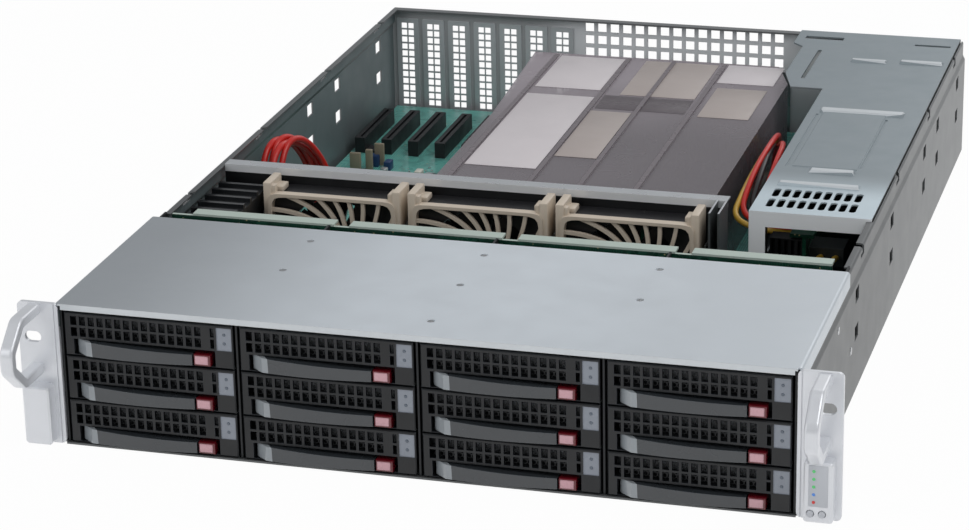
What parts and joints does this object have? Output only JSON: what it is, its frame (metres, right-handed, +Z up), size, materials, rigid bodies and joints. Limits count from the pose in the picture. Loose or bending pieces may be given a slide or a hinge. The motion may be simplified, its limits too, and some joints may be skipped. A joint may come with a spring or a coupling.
{
  "type": "rackmount server chassis",
  "caption": "Two-unit rackmount server chassis, lid off, with twelve front drive carriers, three fans, ducted motherboard, two rear power modules and bow handles.",
  "frame": {"origin": "Midway across the case on its underside, in the plane where the two rack ears seat on the rack posts.", "axes": "+X to the right seen from the front, +Y to the rear, +Z up."},
  "size_m": [0.4826, 0.713, 0.088],
  "materials": {
    "zinc_steel": "satin",
    "cover_steel": "satin",
    "bright_steel": "satin",
    "ear_silver": "satin",
    "black_plastic": "fine grain",
    "gloss_black": "polished",
    "release_red": "fine grain",
    "grey_plastic": "fine grain",
    "beige_plastic": "fine grain",
    "green_board": "lacquered",
    "teal_board": "lacquered",
    "smoked_plastic": "clear, tinted",
    "red_sheath": "smooth",
    "yellow_sheath": "smooth"
  },
  "bodies": {
    "chassis": {"base_pan": "zinc_steel", "slot_covers": "bright_steel", "front_cover": "cover_steel", "drive_cage": "zinc_steel", "backplane": "green_board", "fan_wall": "bright_steel", "motherboard": "teal_board", "board_parts": "black_plastic", "psu_housing": "cover_steel", "left_ear": "ear_silver", "right_ear": "ear_silver", "data_cables": "red_sheath", "power_cables": "yellow_sheath"},
    "carrier_1_1": {"carrier_1_1": "black_plastic"},
    "lever_1_1": {"lever_1_1": "gloss_black"},
    "release_1_1": {"release_1_1": "release_red"},
    "carrier_1_2": {"carrier_1_2": "black_plastic"},
    "lever_1_2": {"lever_1_2": "gloss_black"},
    "release_1_2": {"release_1_2": "release_red"},
    "carrier_1_3": {"carrier_1_3": "black_plastic"},
    "lever_1_3": {"lever_1_3": "gloss_black"},
    "release_1_3": {"release_1_3": "release_red"},
    "carrier_1_4": {"carrier_1_4": "black_plastic"},
    "lever_1_4": {"lever_1_4": "gloss_black"},
    "release_1_4": {"release_1_4": "release_red"},
    "carrier_2_1": {"carrier_2_1": "black_plastic"},
    "lever_2_1": {"lever_2_1": "gloss_black"},
    "release_2_1": {"release_2_1": "release_red"},
    "carrier_2_2": {"carrier_2_2": "black_plastic"},
    "lever_2_2": {"lever_2_2": "gloss_black"},
    "release_2_2": {"release_2_2": "release_red"},
    "carrier_2_3": {"carrier_2_3": "black_plastic"},
    "lever_2_3": {"lever_2_3": "gloss_black"},
    "release_2_3": {"release_2_3": "release_red"},
    "carrier_2_4": {"carrier_2_4": "black_plastic"},
    "lever_2_4": {"lever_2_4": "gloss_black"},
    "release_2_4": {"release_2_4": "release_red"},
    "carrier_3_1": {"carrier_3_1": "black_plastic"},
    "lever_3_1": {"lever_3_1": "gloss_black"},
    "release_3_1": {"release_3_1": "release_red"},
    "carrier_3_2": {"carrier_3_2": "black_plastic"},
    "lever_3_2": {"lever_3_2": "gloss_black"},
    "release_3_2": {"release_3_2": "release_red"},
    "carrier_3_3": {"carrier_3_3": "black_plastic"},
    "lever_3_3": {"lever_3_3": "gloss_black"},
    "release_3_3": {"release_3_3": "release_red"},
    "carrier_3_4": {"carrier_3_4": "black_plastic"},
    "lever_3_4": {"lever_3_4": "gloss_black"},
    "release_3_4": {"release_3_4": "release_red"},
    "fan_1": {"fan_1": "beige_plastic"},
    "fan_rotor_1": {"fan_rotor_1": "black_plastic"},
    "fan_2": {"fan_2": "beige_plastic"},
    "fan_rotor_2": {"fan_rotor_2": "black_plastic"},
    "fan_3": {"fan_3": "beige_plastic"},
    "fan_rotor_3": {"fan_rotor_3": "black_plastic"},
    "air_shroud": {"air_shroud": "smoked_plastic"},
    "power_module_upper": {"power_module_upper": "zinc_steel"},
    "power_module_lower": {"power_module_lower": "zinc_steel"},
    "power_button": {"power_button": "grey_plastic"},
    "reset_button": {"reset_button": "grey_plastic"}
  },
  "joints": [
    {"name": "carrier_slide_1_1", "type": "slide", "parent": "chassis", "child": "carrier_1_1", "axis": [0, -1, 0], "range_m": [0, 0.172]},
    {"name": "lever_hinge_1_1", "type": "hinge", "parent": "carrier_1_1", "child": "lever_1_1", "pos_m": [-0.2033, 0.0037, 0.0623], "axis": [0, 0, -1], "range_deg": [0, 55]},
    {"name": "release_press_1_1", "type": "slide", "parent": "carrier_1_1", "child": "release_1_1", "axis": [0, 1, 0], "range_m": [0, 0.002], "stiffness_N_per_m": 400, "springref_m": -0.002},
    {"name": "carrier_slide_1_2", "type": "slide", "parent": "chassis", "child": "carrier_1_2", "axis": [0, -1, 0], "range_m": [0, 0.172]},
    {"name": "lever_hinge_1_2", "type": "hinge", "parent": "carrier_1_2", "child": "lever_1_2", "pos_m": [-0.0958, 0.0037, 0.0623], "axis": [0, 0, -1], "range_deg": [0, 55]},
    {"name": "release_press_1_2", "type": "slide", "parent": "carrier_1_2", "child": "release_1_2", "axis": [0, 1, 0], "range_m": [0, 0.002], "stiffness_N_per_m": 400, "springref_m": -0.002},
    {"name": "carrier_slide_1_3", "type": "slide", "parent": "chassis", "child": "carrier_1_3", "axis": [0, -1, 0], "range_m": [0, 0.172]},
    {"name": "lever_hinge_1_3", "type": "hinge", "parent": "carrier_1_3", "child": "lever_1_3", "pos_m": [0.0117, 0.0037, 0.0623], "axis": [0, 0, -1], "range_deg": [0, 55]},
    {"name": "release_press_1_3", "type": "slide", "parent": "carrier_1_3", "child": "release_1_3", "axis": [0, 1, 0], "range_m": [0, 0.002], "stiffness_N_per_m": 400, "springref_m": -0.002},
    {"name": "carrier_slide_1_4", "type": "slide", "parent": "chassis", "child": "carrier_1_4", "axis": [0, -1, 0], "range_m": [0, 0.172]},
    {"name": "lever_hinge_1_4", "type": "hinge", "parent": "carrier_1_4", "child": "lever_1_4", "pos_m": [0.1192, 0.0037, 0.0623], "axis": [0, 0, -1], "range_deg": [0, 55]},
    {"name": "release_press_1_4", "type": "slide", "parent": "carrier_1_4", "child": "release_1_4", "axis": [0, 1, 0], "range_m": [0, 0.002], "stiffness_N_per_m": 400, "springref_m": -0.002},
    {"name": "carrier_slide_2_1", "type": "slide", "parent": "chassis", "child": "carrier_2_1", "axis": [0, -1, 0], "range_m": [0, 0.172]},
    {"name": "lever_hinge_2_1", "type": "hinge", "parent": "carrier_2_1", "child": "lever_2_1", "pos_m": [-0.2033, 0.0037, 0.0349], "axis": [0, 0, -1], "range_deg": [0, 55]},
    {"name": "release_press_2_1", "type": "slide", "parent": "carrier_2_1", "child": "release_2_1", "axis": [0, 1, 0], "range_m": [0, 0.002], "stiffness_N_per_m": 400, "springref_m": -0.002},
    {"name": "carrier_slide_2_2", "type": "slide", "parent": "chassis", "child": "carrier_2_2", "axis": [0, -1, 0], "range_m": [0, 0.172]},
    {"name": "lever_hinge_2_2", "type": "hinge", "parent": "carrier_2_2", "child": "lever_2_2", "pos_m": [-0.0958, 0.0037, 0.0349], "axis": [0, 0, -1], "range_deg": [0, 55]},
    {"name": "release_press_2_2", "type": "slide", "parent": "carrier_2_2", "child": "release_2_2", "axis": [0, 1, 0], "range_m": [0, 0.002], "stiffness_N_per_m": 400, "springref_m": -0.002},
    {"name": "carrier_slide_2_3", "type": "slide", "parent": "chassis", "child": "carrier_2_3", "axis": [0, -1, 0], "range_m": [0, 0.172]},
    {"name": "lever_hinge_2_3", "type": "hinge", "parent": "carrier_2_3", "child": "lever_2_3", "pos_m": [0.0117, 0.0037, 0.0349], "axis": [0, 0, -1], "range_deg": [0, 55]},
    {"name": "release_press_2_3", "type": "slide", "parent": "carrier_2_3", "child": "release_2_3", "axis": [0, 1, 0], "range_m": [0, 0.002], "stiffness_N_per_m": 400, "springref_m": -0.002},
    {"name": "carrier_slide_2_4", "type": "slide", "parent": "chassis", "child": "carrier_2_4", "axis": [0, -1, 0], "range_m": [0, 0.172]},
    {"name": "lever_hinge_2_4", "type": "hinge", "parent": "carrier_2_4", "child": "lever_2_4", "pos_m": [0.1192, 0.0037, 0.0349], "axis": [0, 0, -1], "range_deg": [0, 55]},
    {"name": "release_press_2_4", "type": "slide", "parent": "carrier_2_4", "child": "release_2_4", "axis": [0, 1, 0], "range_m": [0, 0.002], "stiffness_N_per_m": 400, "springref_m": -0.002},
    {"name": "carrier_slide_3_1", "type": "slide", "parent": "chassis", "child": "carrier_3_1", "axis": [0, -1, 0], "range_m": [0, 0.172]},
    {"name": "lever_hinge_3_1", "type": "hinge", "parent": "carrier_3_1", "child": "lever_3_1", "pos_m": [-0.2033, 0.0037, 0.0075], "axis": [0, 0, -1], "range_deg": [0, 55]},
    {"name": "release_press_3_1", "type": "slide", "parent": "carrier_3_1", "child": "release_3_1", "axis": [0, 1, 0], "range_m": [0, 0.002], "stiffness_N_per_m": 400, "springref_m": -0.002},
    {"name": "carrier_slide_3_2", "type": "slide", "parent": "chassis", "child": "carrier_3_2", "axis": [0, -1, 0], "range_m": [0, 0.172]},
    {"name": "lever_hinge_3_2", "type": "hinge", "parent": "carrier_3_2", "child": "lever_3_2", "pos_m": [-0.0958, 0.0037, 0.0075], "axis": [0, 0, -1], "range_deg": [0, 55]},
    {"name": "release_press_3_2", "type": "slide", "parent": "carrier_3_2", "child": "release_3_2", "axis": [0, 1, 0], "range_m": [0, 0.002], "stiffness_N_per_m": 400, "springref_m": -0.002},
    {"name": "carrier_slide_3_3", "type": "slide", "parent": "chassis", "child": "carrier_3_3", "axis": [0, -1, 0], "range_m": [0, 0.172]},
    {"name": "lever_hinge_3_3", "type": "hinge", "parent": "carrier_3_3", "child": "lever_3_3", "pos_m": [0.0117, 0.0037, 0.0075], "axis": [0, 0, -1], "range_deg": [0, 55]},
    {"name": "release_press_3_3", "type": "slide", "parent": "carrier_3_3", "child": "release_3_3", "axis": [0, 1, 0], "range_m": [0, 0.002], "stiffness_N_per_m": 400, "springref_m": -0.002},
    {"name": "carrier_slide_3_4", "type": "slide", "parent": "chassis", "child": "carrier_3_4", "axis": [0, -1, 0], "range_m": [0, 0.172]},
    {"name": "lever_hinge_3_4", "type": "hinge", "parent": "carrier_3_4", "child": "lever_3_4", "pos_m": [0.1192, 0.0037, 0.0075], "axis": [0, 0, -1], "range_deg": [0, 55]},
    {"name": "release_press_3_4", "type": "slide", "parent": "carrier_3_4", "child": "release_3_4", "axis": [0, 1, 0], "range_m": [0, 0.002], "stiffness_N_per_m": 400, "springref_m": -0.002},
    {"name": "fan_lift_1", "type": "slide", "parent": "chassis", "child": "fan_1", "axis": [0, 0, 1], "range_m": [0, 0.09]},
    {"name": "fan_spin_1", "type": "hinge", "parent": "fan_1", "child": "fan_rotor_1", "pos_m": [-0.1305, 0.25, 0.0395], "axis": [0, 1, 0], "continuous": true},
    {"name": "fan_lift_2", "type": "slide", "parent": "chassis", "child": "fan_2", "axis": [0, 0, 1], "range_m": [0, 0.09]},
    {"name": "fan_spin_2", "type": "hinge", "parent": "fan_2", "child": "fan_rotor_2", "pos_m": [-0.0335, 0.25, 0.0395], "axis": [0, 1, 0], "continuous": true},
    {"name": "fan_lift_3", "type": "slide", "parent": "chassis", "child": "fan_3", "axis": [0, 0, 1], "range_m": [0, 0.09]},
    {"name": "fan_spin_3", "type": "hinge", "parent": "fan_3", "child": "fan_rotor_3", "pos_m": [0.0635, 0.25, 0.0395], "axis": [0, 1, 0], "continuous": true},
    {"name": "shroud_lift", "type": "slide", "parent": "chassis", "child": "air_shroud", "axis": [0, 0, 1], "range_m": [0, 0.11]},
    {"name": "power_module_slide_upper", "type": "slide", "parent": "chassis", "child": "power_module_upper", "axis": [0, 1, 0], "range_m": [0, 0.32]},
    {"name": "power_module_slide_lower", "type": "slide", "parent": "chassis", "child": "power_module_lower", "axis": [0, 1, 0], "range_m": [0, 0.32]},
    {"name": "power_press", "type": "slide", "parent": "chassis", "child": "power_button", "axis": [0, 1, 0], "range_m": [0, 0.001], "stiffness_N_per_m": 500, "springref_m": -0.002},
    {"name": "reset_press", "type": "slide", "parent": "chassis", "child": "reset_button", "axis": [0, 1, 0], "range_m": [0, 0.001], "stiffness_N_per_m": 500, "springref_m": -0.002}
  ]
}
